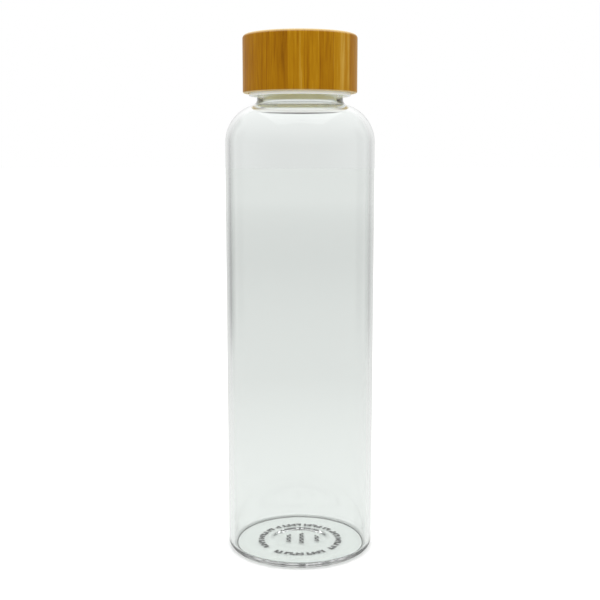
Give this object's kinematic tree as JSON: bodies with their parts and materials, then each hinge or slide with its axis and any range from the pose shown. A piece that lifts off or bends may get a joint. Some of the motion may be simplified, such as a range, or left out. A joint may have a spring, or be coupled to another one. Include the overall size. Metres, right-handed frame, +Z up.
{
  "type": "glass water bottle",
  "caption": "Tall clear glass water bottle with a rounded shoulder, a short threaded neck and a bamboo screw lid that turns and rises on its thread.",
  "frame": {"origin": "centre of the ring that the bottle stands on", "axes": "+Z up along the bottle's axis; +X is where the neck's thread begins"},
  "size_m": [0.066, 0.066, 0.231],
  "materials": {
    "clear_glass": "clear gloss",
    "bamboo": "satin lacquer",
    "insert_plastic": "moulded satin",
    "cured_glue": "cured gloss",
    "silicone": "matte"
  },
  "bodies": {
    "bottle": {"glass_bottle": "clear_glass"},
    "seal": {"silicone_seal": "silicone"},
    "lid": {"bamboo_shell": "bamboo", "threaded_insert": "insert_plastic", "glue_bond": "cured_glue"}
  },
  "joints": [
    {"name": "lid_rise", "type": "slide", "parent": "bottle", "child": "seal", "axis": [0, 0, 1], "range_m": [0, 0.0084]},
    {"name": "lid_turn", "type": "hinge", "parent": "seal", "child": "lid", "pos_m": [0, 0, 0.2155], "axis": [0, 0, 1], "range_deg": [0, 720]}
  ],
  "couplings": [
    {"joint": "lid_rise", "follows": "lid_turn", "m_per_rad": 0.00066845}
  ]
}
